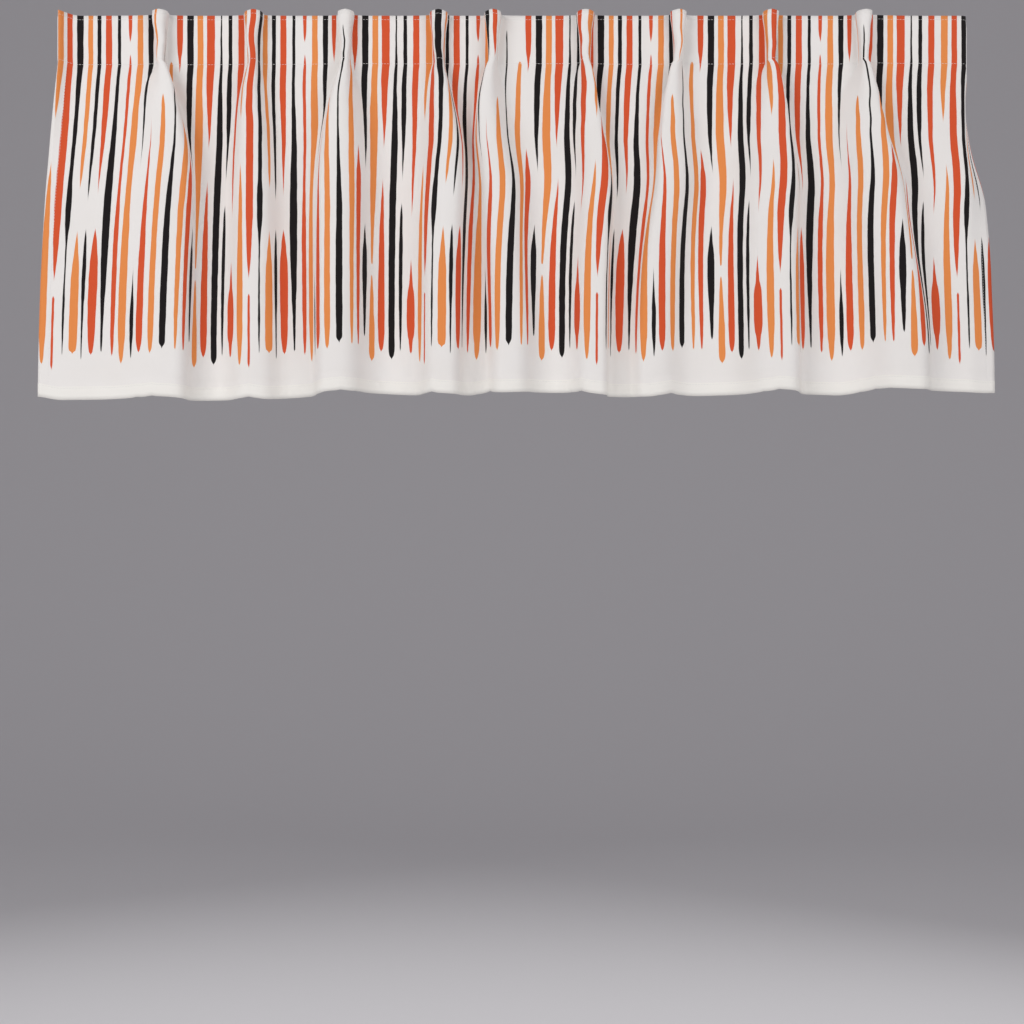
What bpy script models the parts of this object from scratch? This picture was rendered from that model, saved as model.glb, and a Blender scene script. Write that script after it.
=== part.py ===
"""A pinch-pleated window valance on a telescopic curtain rod, with its rings, hooks and wall brackets.

Metres, +Z up. X runs along the rod. The wall is the plane y = 0, and the room is at -Y.
The origin is on the wall, level with the rod's axis, midway along the valance's header.
"""

import math

import bmesh
import bpy
from mathutils import Matrix, Vector

# ---- Driving dimensions -------------------------------------------------------------------------

GAP = 0.0003  # between pieces that touch

# Header of the valance: nine pinch pleats, evenly spaced but for one close pair near the middle
PLEATS_BEFORE_PAIR = 4
PLEATS_AFTER_PAIR = 5
PLEAT_PITCH = 0.1195
CLOSE_PAIR_PITCH = 0.070
END_SPAN_LEFT = 0.1365
END_SPAN_RIGHT = 0.131
PLEAT_WIDTH = 0.016
PLEAT_DEPTH = 0.011
HEADER_ABOVE_ROD = 0.012  # from the rod's axis up to the header's top edge

# Cloth
DROP = 0.498
CLOTH_THICKNESS = 0.0015
TAPE_HEIGHT = 0.062
TAPE_THICKNESS = 0.0008
TAPE_BELOW_TOP = 0.003
HEM_FLARE_LEFT = 0.024
HEM_FLARE_RIGHT = 0.036
FOLD_DEPTH = 0.036  # crest to valley, at the hem
FOLD_HALF_WIDTH = 0.024  # of a pleat once it has opened, at the hem
CLOTH_LEAN = 0.020  # how far the hem hangs nearer the wall than the header

# Telescopic rod
OUTER_TUBE_RADIUS = 0.008
TUBE_WALL = 0.0007
TELESCOPE_CLEARANCE = 0.0007
TUBE_PAST_LAST_PLEAT = 0.045
TUBE_OVERLAP = 0.70
ROD_PROJECTION = 0.070  # from the wall to the rod's axis
ROD_INSIDE_HEADER = 0.008  # from the header's end to the rod's end
CAP_FLANGE = 0.003
CAP_LIP = 0.0012
CAP_PLUG = 0.010

# Rings and their eyelets
RING_SLACK = 0.003  # ring's hole radius over the outer tube's
RING_WIRE_RADIUS = 0.0012
EYELET_RADIUS = 0.003
EYELET_WIRE_RADIUS = 0.0008
END_RING_INSIDE_HEADER = 0.033

# Hooks
HOOK_WIRE_RADIUS = 0.0008
PRONG_SPACING = 0.0072
PRONG_LENGTH = 0.052
PRONG_BEHIND_RING = 0.0026  # from the ring's front to the prongs' centre line
STEM_BEHIND_PRONGS = 0.0028
CROOK_BEND = 0.004
CROOK_TAIL = 0.009

# Wall brackets
BRACKET_INSIDE_HEADER = 0.017
STRAP_WIDTH = 0.012
STRAP_THICKNESS = 0.0025
CRADLE_FRONT_LIP = 0.002
CRADLE_BACK_LIP = 0.005
ARM_DEPTH = 0.006
PLATE_WIDTH = 0.026
PLATE_HEIGHT = 0.056
PLATE_THICKNESS = 0.003
SCREW_SPACING = 0.038
BOSS_RADIUS = 0.0046
BOSS_HEIGHT = 0.004

# Screws
WALL_SCREW_RADIUS = 0.002
WALL_SCREW_LENGTH = 0.030
WALL_SCREW_HEAD_RADIUS = 0.0042
WALL_SCREW_HEAD_HEIGHT = 0.0026
THUMB_SCREW_RADIUS = 0.002
THUMB_HEAD_RADIUS = 0.0055
THUMB_HEAD_HEIGHT = 0.006
THUMB_HEAD_DROP = 0.001
KNURLS = 16

# ---- Sizes that follow --------------------------------------------------------------------------

PLEAT_COUNT = PLEATS_BEFORE_PAIR + PLEATS_AFTER_PAIR
PLEATS_SPAN = (PLEAT_COUNT - 2) * PLEAT_PITCH + CLOSE_PAIR_PITCH
HEADER_HALF = (END_SPAN_LEFT + PLEATS_SPAN + END_SPAN_RIGHT) / 2
INNER_TUBE_RADIUS = OUTER_TUBE_RADIUS - TUBE_WALL - TELESCOPE_CLEARANCE
RING_HOLE_RADIUS = OUTER_TUBE_RADIUS + RING_SLACK
RING_MEAN_RADIUS = RING_HOLE_RADIUS + RING_WIRE_RADIUS
RING_FRONT = RING_MEAN_RADIUS + RING_WIRE_RADIUS
RING_CENTRE_Z = OUTER_TUBE_RADIUS + GAP - RING_HOLE_RADIUS
EYELET_Z = RING_CENTRE_Z - RING_MEAN_RADIUS - EYELET_RADIUS
CROOK_Z = EYELET_Z - EYELET_RADIUS + EYELET_WIRE_RADIUS + GAP + HOOK_WIRE_RADIUS
PRONG_REACH = RING_FRONT + PRONG_BEHIND_RING
TAPE_REACH = PRONG_REACH + HOOK_WIRE_RADIUS + GAP
CLOTH_REACH = TAPE_REACH + TAPE_THICKNESS + GAP
HEADER_TOP = HEADER_ABOVE_ROD
TAPE_TOP = HEADER_TOP - TAPE_BELOW_TOP
TAPE_BOTTOM = TAPE_TOP - TAPE_HEIGHT
HEM_Z = HEADER_TOP - DROP
ROD_AXIS = Vector((0, -ROD_PROJECTION, 0))
ROD_HALF = HEADER_HALF - ROD_INSIDE_HEADER
BRACKET_X = HEADER_HALF - BRACKET_INSIDE_HEADER
END_RING_X = HEADER_HALF - END_RING_INSIDE_HEADER


def pleat_positions():
    """The X of each pleat's centre, from left to right."""
    places = [END_SPAN_LEFT - HEADER_HALF]
    for number in range(1, PLEAT_COUNT):
        close = number == PLEATS_BEFORE_PAIR
        places.append(places[-1] + (CLOSE_PAIR_PITCH if close else PLEAT_PITCH))
    return places


PLEATS = pleat_positions()
OUTER_TUBE_END = PLEATS[-1] + TUBE_PAST_LAST_PLEAT
INNER_TUBE_START = OUTER_TUBE_END - TUBE_OVERLAP


# ---- Making pieces ------------------------------------------------------------------------------


def clear_scene():
    for item in list(bpy.data.objects):
        bpy.data.objects.remove(item, do_unlink=True)


def finish_material(name, colour, roughness, metallic):
    made = bpy.data.materials.new(name)
    made.use_nodes = True
    shader = made.node_tree.nodes["Principled BSDF"]
    shader.inputs["Base Color"].default_value = (*colour, 1)
    shader.inputs["Roughness"].default_value = roughness
    shader.inputs["Metallic"].default_value = metallic
    return made


def add_piece(name, mesh, material, place=(0, 0, 0), parent=None):
    piece = bpy.data.objects.new(name, mesh)
    bpy.context.collection.objects.link(piece)
    piece.location = place
    piece.parent = parent
    if not mesh.materials:
        mesh.materials.append(material)
    return piece


def add_pivot(name, place, parent=None):
    pivot = bpy.data.objects.new(name, None)
    bpy.context.collection.objects.link(pivot)
    pivot.location = place
    pivot.parent = parent
    return pivot


def to_mesh(bm, name):
    """Turns faces outwards, shades them smooth with sharp edges kept, and gives the mesh."""
    bmesh.ops.remove_doubles(bm, verts=bm.verts, dist=1e-6)
    bmesh.ops.recalc_face_normals(bm, faces=bm.faces)
    mesh = bpy.data.meshes.new(name)
    bm.to_mesh(mesh)
    bm.free()
    mesh.shade_smooth()
    mesh.set_sharp_from_angle(angle=math.radians(35))
    return mesh


def turned(outline, segments, closed):
    """Spins an outline of (distance along X, radius) points about X."""
    bm = bmesh.new()
    corners = [bm.verts.new((along, 0, radius)) for along, radius in outline]
    for start, end in zip(corners, corners[1:]):
        bm.edges.new((start, end))
    if closed:
        bm.edges.new((corners[-1], corners[0]))
    bmesh.ops.spin(
        bm, geom=bm.verts[:] + bm.edges[:], cent=(0, 0, 0), axis=(1, 0, 0),
        angle=math.tau, steps=segments, use_merge=True,
    )
    return bm


def extruded(outline, depth):
    """A flat outline of (y, z) points, extruded along X and centred on x = 0."""
    bm = bmesh.new()
    face = bm.faces.new([bm.verts.new((-depth / 2, y, z)) for y, z in outline])
    grown = bmesh.ops.extrude_face_region(bm, geom=[face])
    moved = [item for item in grown["geom"] if isinstance(item, bmesh.types.BMVert)]
    bmesh.ops.translate(bm, verts=moved, vec=(depth, 0, 0))
    return bm


def block(low, high):
    bm = bmesh.new()
    size = Vector(high) - Vector(low)
    middle = (Vector(high) + Vector(low)) / 2
    bmesh.ops.create_cube(bm, size=1, matrix=Matrix.Translation(middle) @ Matrix.Diagonal((*size, 1)))
    return bm


def rod_between(start, end, radius, segments):
    """A capped cylinder between two points."""
    start, end = Vector(start), Vector(end)
    turn = (end - start).to_track_quat("Z", "Y").to_matrix().to_4x4()
    bm = bmesh.new()
    bmesh.ops.create_cone(
        bm, cap_ends=True, segments=segments, radius1=radius, radius2=radius,
        depth=(end - start).length, matrix=Matrix.Translation((start + end) / 2) @ turn,
    )
    return bm


def combined(base_mesh, tools):
    """The mesh after a Boolean with each (mesh, operation) in turn."""
    base = bpy.data.objects.new("blank", base_mesh)
    bpy.context.collection.objects.link(base)
    for mesh, operation in tools:
        tool = bpy.data.objects.new("tool", mesh)
        bpy.context.collection.objects.link(tool)
        step = base.modifiers.new("step", "BOOLEAN")
        step.operation = operation
        step.object = tool
        bpy.context.view_layer.objects.active = base
        bpy.ops.object.modifier_apply(modifier=step.name)
        bpy.data.objects.remove(tool, do_unlink=True)
    made = base.data
    bpy.data.objects.remove(base, do_unlink=True)
    made.materials.clear()
    return made


# ---- Rod ----------------------------------------------------------------------------------------


def tube_mesh(name, start, end, radius):
    inside = radius - TUBE_WALL
    outline = [(start, inside), (start, radius), (end, radius), (end, inside)]
    return to_mesh(turned(outline, 28, closed=True), name)


def cap_mesh(name, tube_radius):
    """A domed cap at the end of a tube that lies towards +X; its plug sits inside the tube."""
    plug = tube_radius - TUBE_WALL - GAP
    rim = tube_radius + CAP_LIP
    outline = [
        (-CAP_PLUG, 0),
        (-CAP_PLUG, plug),
        (GAP, plug),
        (GAP, rim),
        (GAP + CAP_FLANGE * 0.5, rim),
        (GAP + CAP_FLANGE * 0.85, rim * 0.8),
        (GAP + CAP_FLANGE, rim * 0.4),
        (GAP + CAP_FLANGE, 0),
    ]
    return to_mesh(turned(outline, 24, closed=False), name)


# ---- Rings and hooks ----------------------------------------------------------------------------


def ring_of_wire(radius, wire_radius, turns, sides, axis, place):
    """A torus about axis 'X' or 'Y' at a place."""
    bm = bmesh.new()
    circle = bmesh.ops.create_circle(bm, segments=sides, radius=wire_radius)["verts"]
    bmesh.ops.translate(bm, verts=circle, vec=(radius, 0, 0))
    bmesh.ops.rotate(bm, verts=circle, cent=(radius, 0, 0), matrix=Matrix.Rotation(math.pi / 2, 3, "X"))
    bmesh.ops.spin(
        bm, geom=bm.verts[:] + bm.edges[:], cent=(0, 0, 0), axis=(0, 0, 1),
        angle=math.tau, steps=turns, use_merge=True,
    )
    bm.transform(Matrix.Translation(place) @ Matrix.Rotation(math.pi / 2, 4, "Y" if axis == "X" else "X"))
    return bm


def ring_mesh():
    """A ring with its eyelet; its origin is on the rod's axis."""
    hoop = ring_of_wire(RING_MEAN_RADIUS, RING_WIRE_RADIUS, 22, 6, "X", (0, 0, RING_CENTRE_Z))
    eyelet = ring_of_wire(EYELET_RADIUS, EYELET_WIRE_RADIUS, 10, 6, "Y", (0, 0, EYELET_Z))
    return combined(to_mesh(hoop, "ring"), [(to_mesh(eyelet, "eyelet"), "UNION")])


def wire_mesh(name, route):
    """Round wire along a route of (x, y, z) points."""
    curve = bpy.data.curves.new(name, "CURVE")
    curve.dimensions = "3D"
    curve.bevel_depth = HOOK_WIRE_RADIUS
    curve.bevel_resolution = 1
    curve.use_fill_caps = True
    spline = curve.splines.new("POLY")
    spline.points.add(len(route) - 1)
    for point, place in zip(spline.points, route):
        point.co = (*place, 1)
    guide = bpy.data.objects.new(name, curve)
    bpy.context.collection.objects.link(guide)
    made = bpy.data.meshes.new_from_object(guide.evaluated_get(bpy.context.evaluated_depsgraph_get()))
    bpy.data.objects.remove(guide, do_unlink=True)
    bm = bmesh.new()
    bm.from_mesh(made)
    return to_mesh(bm, name)


def arc(centre, radius, first, last, steps):
    """Points (0, y, z) round an arc in the plane across the rod; angles in degrees from +Y to +Z."""
    turns = [math.radians(first + (last - first) * step / steps) for step in range(steps + 1)]
    return [(0, centre[0] + radius * math.cos(t), centre[1] + radius * math.sin(t)) for t in turns]


def hook_mesh(name, prong_places):
    """A hook with its prongs; its origin is on the rod's axis."""
    stem_y = STEM_BEHIND_PRONGS - PRONG_REACH
    base_z = TAPE_BOTTOM + STEM_BEHIND_PRONGS
    tail_y = 2 * HOOK_WIRE_RADIUS + CROOK_BEND
    bend = CROOK_BEND * 1.6
    route = arc((stem_y - STEM_BEHIND_PRONGS / 2, base_z), STEM_BEHIND_PRONGS / 2, -180, 0, 4)
    route += arc((stem_y + bend, CROOK_Z - bend), bend, 180, 90, 4)
    route += arc((tail_y - CROOK_BEND, CROOK_Z - CROOK_BEND), CROOK_BEND, 90, 0, 4)
    route.append((0, tail_y, CROOK_Z - CROOK_BEND - CROOK_TAIL))
    prong_top = base_z + PRONG_LENGTH
    tools = []
    for place in prong_places:
        prong = rod_between((place, -PRONG_REACH, base_z), (place, -PRONG_REACH, prong_top), HOOK_WIRE_RADIUS, 6)
        tools.append((to_mesh(prong, "prong"), "UNION"))
    if len(prong_places) > 1:
        reach = max(prong_places) + HOOK_WIRE_RADIUS
        low = (-reach, -PRONG_REACH - HOOK_WIRE_RADIUS * 0.8, base_z - HOOK_WIRE_RADIUS)
        high = (reach, -PRONG_REACH + HOOK_WIRE_RADIUS * 0.8, base_z + HOOK_WIRE_RADIUS)
        tools.append((to_mesh(block(low, high), "foot"), "UNION"))
    return combined(wire_mesh(name, route), tools)


# ---- Wall brackets and screws -------------------------------------------------------------------


def bracket_mesh(tube_radius):
    """A bracket with an open cradle for a tube; its origin is on the rod's axis."""
    seat = tube_radius + GAP
    outside = seat + STRAP_THICKNESS
    wall = ROD_PROJECTION
    arm_top = -CRADLE_BACK_LIP * 0.4
    arm_low = arm_top - ARM_DEPTH
    meets = math.degrees(math.asin(arm_low / outside))
    strap = [(-seat, CRADLE_FRONT_LIP)]
    strap += [(y, z) for _, y, z in arc((0, 0), seat, -180, 0, 14)]
    strap += [(seat, CRADLE_BACK_LIP), (outside, CRADLE_BACK_LIP), (outside, arm_top)]
    strap += [(wall - PLATE_THICKNESS / 2, arm_top), (wall - PLATE_THICKNESS / 2, arm_low)]
    strap += [(y, z) for _, y, z in arc((0, 0), outside, meets, -180, 12)]
    strap.append((-outside, CRADLE_FRONT_LIP))
    middle = (arm_top + arm_low) / 2
    plate = block(
        (-PLATE_WIDTH / 2, wall - PLATE_THICKNESS, middle - PLATE_HEIGHT / 2),
        (PLATE_WIDTH / 2, wall, middle + PLATE_HEIGHT / 2),
    )
    corners = [edge for edge in plate.edges if abs(edge.verts[0].co.y - edge.verts[1].co.y) > GAP]
    bmesh.ops.bevel(plate, geom=corners, offset=PLATE_WIDTH / 4, segments=3, profile=0.5, affect="EDGES")
    hole_radius = WALL_SCREW_RADIUS + GAP
    boss = rod_between((0, 0, -seat - STRAP_THICKNESS / 2), (0, 0, -outside - BOSS_HEIGHT), BOSS_RADIUS, 18)
    thread = rod_between((0, 0, -seat + BOSS_HEIGHT), (0, 0, -outside - 2 * BOSS_HEIGHT), THUMB_SCREW_RADIUS + GAP, 14)
    tools = [
        (to_mesh(plate, "plate"), "UNION"),
        (to_mesh(boss, "boss"), "UNION"),
        (to_mesh(thread, "thread"), "DIFFERENCE"),
    ]
    for side in (-1, 1):
        z = middle + side * SCREW_SPACING / 2
        hole = rod_between((0, wall - 2 * PLATE_THICKNESS, z), (0, wall + PLATE_THICKNESS, z), hole_radius, 14)
        tools.append((to_mesh(hole, "hole"), "DIFFERENCE"))
    return combined(to_mesh(extruded(strap, STRAP_WIDTH), "strap"), tools)


def wall_screw_mesh():
    """A pan-head wood screw along +Y; its head rests on the plate's front at the origin."""
    head_back = -GAP
    outline = [
        (WALL_SCREW_LENGTH, 0),
        (WALL_SCREW_LENGTH - 3 * WALL_SCREW_RADIUS, WALL_SCREW_RADIUS),
        (head_back, WALL_SCREW_RADIUS),
        (head_back, WALL_SCREW_HEAD_RADIUS),
        (head_back - WALL_SCREW_HEAD_HEIGHT * 0.5, WALL_SCREW_HEAD_RADIUS * 0.95),
        (head_back - WALL_SCREW_HEAD_HEIGHT, WALL_SCREW_HEAD_RADIUS * 0.6),
        (head_back - WALL_SCREW_HEAD_HEIGHT, 0),
    ]
    bm = turned(outline, 14, closed=False)
    bm.transform(Matrix.Rotation(math.pi / 2, 4, "Z"))
    front = head_back - WALL_SCREW_HEAD_HEIGHT
    arm, half = WALL_SCREW_HEAD_RADIUS * 0.5, WALL_SCREW_HEAD_RADIUS * 0.1
    cuts = []
    for wide, high in ((arm, half), (half, arm)):
        slot = block((-wide, front - GAP, -high), (wide, front + WALL_SCREW_HEAD_HEIGHT * 0.5, high))
        cuts.append((to_mesh(slot, "slot"), "DIFFERENCE"))
    return combined(to_mesh(bm, "wall_screw"), cuts)


def thumb_screw_mesh(tube_radius):
    """A knurled screw that points up at the tube; its origin is on the rod's axis."""
    tip = -tube_radius - GAP
    head_top = -(tube_radius + GAP + STRAP_THICKNESS + BOSS_HEIGHT) - THUMB_HEAD_DROP
    rim = []
    for number in range(2 * KNURLS):
        turn = math.tau * number / (2 * KNURLS)
        reach = THUMB_HEAD_RADIUS * (0.94 if number % 2 else 1)
        rim.append((reach * math.cos(turn), reach * math.sin(turn)))
    head = extruded(rim, THUMB_HEAD_HEIGHT)
    head.transform(Matrix.Translation((0, 0, head_top - THUMB_HEAD_HEIGHT / 2)) @ Matrix.Rotation(math.pi / 2, 4, "Y"))
    shank = rod_between((0, 0, tip), (0, 0, head_top - THUMB_HEAD_HEIGHT / 2), THUMB_SCREW_RADIUS, 14)
    return combined(to_mesh(head, "thumb_screw"), [(to_mesh(shank, "shank"), "UNION")])


# ---- Cloth --------------------------------------------------------------------------------------


def smooth_step(value):
    value = min(max(value, 0), 1)
    return value * value * (3 - 2 * value)


def cloth_columns():
    """(X in the header, pleat depth there, X at the hem, fold wave there) from left to right.

    The fold wave is -1 on a crest, which stands under a pleat, and 1 in the valley between two."""
    def at_hem(x):
        share = (x + HEADER_HALF) / (2 * HEADER_HALF)
        return x - HEM_FLARE_LEFT + (HEM_FLARE_LEFT + HEM_FLARE_RIGHT) * share

    half = PLEAT_WIDTH / 2
    across = [(-1, 0), (-0.72, 1), (-0.36, 1), (0, 0.25), (0.36, 1), (0.72, 1), (1, 0)]
    columns = []
    edges = [-HEADER_HALF] + PLEATS + [HEADER_HALF]
    for number, place in enumerate(PLEATS):
        for share, depth in across:
            crest = -math.cos(math.pi * FOLD_HALF_WIDTH / PLEAT_PITCH * share * 2)
            columns.append((place + half * share, depth, at_hem(place) + FOLD_HALF_WIDTH * share, crest))
    for number, (left, right) in enumerate(zip(edges, edges[1:])):
        first, last = number == 0, number == len(edges) - 2
        from_x, to_x = left + (0 if first else half), right - (0 if last else half)
        from_hem = at_hem(left) + (0 if first else FOLD_HALF_WIDTH)
        to_hem = at_hem(right) - (0 if last else FOLD_HALF_WIDTH)
        shares = [0.2, 0.4, 0.6, 0.8]
        if first:
            shares = [0] + shares
        if last:
            shares = shares + [1]
        for share in shares:
            header_x = from_x + (to_x - from_x) * share
            hem_x = from_hem + (to_hem - from_hem) * share
            nearest = min(abs(hem_x - at_hem(place)) for place in PLEATS)
            wave = -math.cos(math.tau * nearest / PLEAT_PITCH)
            columns.append((header_x, 0, hem_x, wave))
    return sorted(columns)


def sheet_mesh(name, rows, back_reach, thickness):
    """A closed sheet whose back is back_reach in front of the rod's axis in the header."""
    bm = bmesh.new()
    columns = cloth_columns()
    backs, fronts = [], []
    for z in rows:
        fall = max(0, (TAPE_BOTTOM - z) / (TAPE_BOTTOM - HEM_Z))
        opened = smooth_step(fall * 2.2)
        back_row, front_row = [], []
        for header_x, pleat, hem_x, wave in columns:
            x = header_x + (hem_x - header_x) * smooth_step(fall * 1.2)
            y = -back_reach - (1 - opened) * pleat * PLEAT_DEPTH
            y += opened * wave * FOLD_DEPTH / 2 + CLOTH_LEAN * fall
            back_row.append(bm.verts.new((x, y, z)))
            front_row.append(bm.verts.new((x, y - thickness, z)))
        backs.append(back_row)
        fronts.append(front_row)
    last = len(columns) - 1
    for upper in range(len(rows) - 1):
        for column in range(last):
            for side in (backs, fronts):
                a, b = side[upper], side[upper + 1]
                bm.faces.new((a[column], a[column + 1], b[column + 1], b[column]))
    for column in range(last):
        for row in (0, -1):
            b, f = backs[row], fronts[row]
            bm.faces.new((b[column], b[column + 1], f[column + 1], f[column]))
    for upper in range(len(rows) - 1):
        for column in (0, last):
            b, f = backs, fronts
            bm.faces.new((b[upper][column], b[upper + 1][column], f[upper + 1][column], f[upper][column]))
    return to_mesh(bm, name)


def valance_rows():
    below = TAPE_BOTTOM - HEM_Z
    return [HEADER_TOP, TAPE_BOTTOM] + [TAPE_BOTTOM - below * share for share in (0.1, 0.22, 0.36, 0.55, 0.78, 1)]


# ---- Assembly -----------------------------------------------------------------------------------

clear_scene()

STEEL = finish_material("satin_steel", (0.62, 0.61, 0.60), 0.35, 1.0)
ZINC = finish_material("bright_zinc", (0.70, 0.70, 0.72), 0.25, 1.0)
COTTON = finish_material("printed_cotton", (0.83, 0.80, 0.77), 0.9, 0.0)
TAPE = finish_material("woven_tape", (0.86, 0.85, 0.83), 0.85, 0.0)

# Brackets, each with two wall screws and a thumb screw that stands on the rod's axis
arm_middle = -CRADLE_BACK_LIP * 0.4 - ARM_DEPTH / 2
screw_mesh = wall_screw_mesh()
for side, tube_radius, x in (("left", OUTER_TUBE_RADIUS, -BRACKET_X), ("right", INNER_TUBE_RADIUS, BRACKET_X)):
    seat = add_pivot(f"{side}_seat", ROD_AXIS + Vector((x, 0, 0)))
    add_piece(f"{side}_bracket", bracket_mesh(tube_radius), STEEL, parent=seat)
    add_piece(f"{side}_thumb_screw", thumb_screw_mesh(tube_radius), ZINC, parent=seat)
    for level, step in (("upper", 1), ("lower", -1)):
        place = (0, ROD_PROJECTION - PLATE_THICKNESS, arm_middle + step * SCREW_SPACING / 2)
        add_piece(f"{side}_{level}_wall_screw", screw_mesh, ZINC, place, seat)

# Telescopic rod, with a cap plugged into each end
rod = add_pivot("rod_axis", ROD_AXIS)
add_piece("outer_tube", tube_mesh("outer_tube", -ROD_HALF, OUTER_TUBE_END, OUTER_TUBE_RADIUS), STEEL, parent=rod)
add_piece("inner_tube", tube_mesh("inner_tube", INNER_TUBE_START, ROD_HALF, INNER_TUBE_RADIUS), STEEL, parent=rod)
left_cap = add_piece("left_end_cap", cap_mesh("left_end_cap", OUTER_TUBE_RADIUS), STEEL, (-ROD_HALF, 0, 0), rod)
left_cap.rotation_euler = (0, 0, math.pi)
add_piece("right_end_cap", cap_mesh("right_end_cap", INNER_TUBE_RADIUS), STEEL, (ROD_HALF, 0, 0), rod)

# A ring and a hook at each end of the header and at each pleat
ring = ring_mesh()
pleat_hook = hook_mesh("pleat_hook", (-PRONG_SPACING, 0, PRONG_SPACING))
end_hook = hook_mesh("end_hook", (0,))
for number, x in enumerate([-END_RING_X] + PLEATS + [END_RING_X], start=1):
    at_pleat = 1 < number < PLEAT_COUNT + 2
    add_piece(f"ring_{number:02d}", ring, STEEL, (x, 0, 0), rod)
    add_piece(f"hook_{number:02d}", pleat_hook if at_pleat else end_hook, ZINC, (x, 0, 0), rod)

# The valance, with its header tape sewn behind
tape_rows = [TAPE_TOP, TAPE_BOTTOM]
add_piece("header_tape", sheet_mesh("header_tape", tape_rows, TAPE_REACH, TAPE_THICKNESS), TAPE, parent=rod)
add_piece("valance", sheet_mesh("valance", valance_rows(), CLOTH_REACH, CLOTH_THICKNESS), COTTON, parent=rod)
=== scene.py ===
import math

import bmesh
import bpy
import numpy as np
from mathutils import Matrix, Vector, noise


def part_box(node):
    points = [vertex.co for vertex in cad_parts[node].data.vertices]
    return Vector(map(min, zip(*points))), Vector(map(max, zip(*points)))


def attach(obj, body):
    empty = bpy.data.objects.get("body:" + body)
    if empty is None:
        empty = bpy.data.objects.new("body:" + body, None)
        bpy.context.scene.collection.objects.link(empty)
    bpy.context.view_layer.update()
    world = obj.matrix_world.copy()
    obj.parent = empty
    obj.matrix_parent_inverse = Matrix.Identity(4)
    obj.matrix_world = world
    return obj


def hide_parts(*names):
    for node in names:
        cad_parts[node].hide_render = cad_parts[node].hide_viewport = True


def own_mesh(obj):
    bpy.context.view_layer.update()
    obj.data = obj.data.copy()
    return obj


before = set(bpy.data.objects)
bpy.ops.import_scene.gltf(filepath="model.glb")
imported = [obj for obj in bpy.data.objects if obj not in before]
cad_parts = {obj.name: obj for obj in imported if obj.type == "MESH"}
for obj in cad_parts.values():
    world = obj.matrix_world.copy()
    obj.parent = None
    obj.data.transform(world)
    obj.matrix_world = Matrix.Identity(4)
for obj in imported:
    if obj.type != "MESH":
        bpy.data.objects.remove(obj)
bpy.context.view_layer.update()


# ---- Rod ----------------------------------------------------------------------------------------
# A telescopic rod: two thin steel tubes, drawn and brushed along their length, one sliding in the
# other. Their cut edges are eased, and a pressed end cap is pushed into each outer end.

MM = 0.001


def middle(node):
    """The middle of a CAD piece's box."""
    low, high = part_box(node)
    return (Vector(low) + Vector(high)) / 2


def size(node):
    """How long a CAD piece's box is each way."""
    low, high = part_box(node)
    return Vector(high) - Vector(low)


def select_only(piece):
    """Leave the one piece selected and active."""
    bpy.ops.object.select_all(action="DESELECT")
    piece.select_set(True)
    bpy.context.view_layer.objects.active = piece


def finish_edges(piece, width, segments=2, smooth=35):
    """Round a hard piece's edges, shade its curves smooth and leave its object at the origin."""
    edges = piece.modifiers.new("edges", "BEVEL")
    edges.width = width
    edges.segments = segments
    edges.limit_method = "ANGLE"
    edges.angle_limit = math.radians(38)
    select_only(piece)
    bpy.ops.object.modifier_apply(modifier="edges")
    bpy.ops.object.transform_apply(location=True, rotation=True, scale=True)
    bpy.ops.object.shade_smooth_by_angle(angle=math.radians(smooth))


def new_material(name, roughness=0.5):
    """A material with the one roughness all over, as (material, node tree, shader)."""
    made = bpy.data.materials.new(name)
    made.use_nodes = True
    shader = made.node_tree.nodes["Principled BSDF"]
    shader.inputs["Roughness"].default_value = roughness
    return made, made.node_tree, shader


def marks_on(tree, place, grain, detail):
    """Uneven marks from 0 to 1; grain is how many times a metre they repeat along each axis."""
    spread = tree.nodes.new("ShaderNodeVectorMath")
    spread.operation = "MULTIPLY"
    spread.inputs[1].default_value = grain
    marks = tree.nodes.new("ShaderNodeTexNoise")
    marks.inputs["Scale"].default_value = 1
    marks.inputs["Detail"].default_value = detail
    tree.links.new(place, spread.inputs[0])
    tree.links.new(spread.outputs[0], marks.inputs["Vector"])
    return marks.outputs[0]


def blended(tree, factor, first, second):
    """The first colour where the factor is 0 and the second where it is 1; each a colour or a socket."""
    mix = tree.nodes.new("ShaderNodeMix")
    mix.data_type = "RGBA"
    tree.links.new(factor, mix.inputs["Factor"])
    for name, colour in (("A", first), ("B", second)):
        if isinstance(colour, tuple):
            mix.inputs[name].default_value = colour
        else:
            tree.links.new(colour, mix.inputs[name])
    return mix.outputs["Result"]


def raise_surface(tree, shader, height, strength, distance):
    """Let the light show a surface too fine to model, such as a weave or a brushed grain."""
    bump = tree.nodes.new("ShaderNodeBump")
    bump.inputs["Strength"].default_value = strength
    bump.inputs["Distance"].default_value = distance
    tree.links.new(height, bump.inputs["Height"])
    tree.links.new(bump.outputs[0], shader.inputs["Normal"])


def metal(name, colour, roughness, grain):
    """Bare or plated steel; grain is how many times a metre its fine marks repeat along X, Y and Z."""
    made, tree, shader = new_material(name)
    shader.inputs["Metallic"].default_value = 1
    place = tree.nodes.new("ShaderNodeTexCoord")
    marks = marks_on(tree, place.outputs["Object"], grain, 4)
    dull = tuple(part * 0.86 for part in colour) + (1,)
    bright = tuple(min(1, part * 1.08) for part in colour) + (1,)
    tree.links.new(blended(tree, marks, dull, bright), shader.inputs["Base Color"])
    rough = tree.nodes.new("ShaderNodeMapRange")
    rough.inputs["To Min"].default_value = roughness - 0.07
    rough.inputs["To Max"].default_value = roughness + 0.09
    tree.links.new(marks, rough.inputs["Value"])
    tree.links.new(rough.outputs[0], shader.inputs["Roughness"])
    raise_surface(tree, shader, marks, 0.12, 0.05 * MM)
    return made


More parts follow.
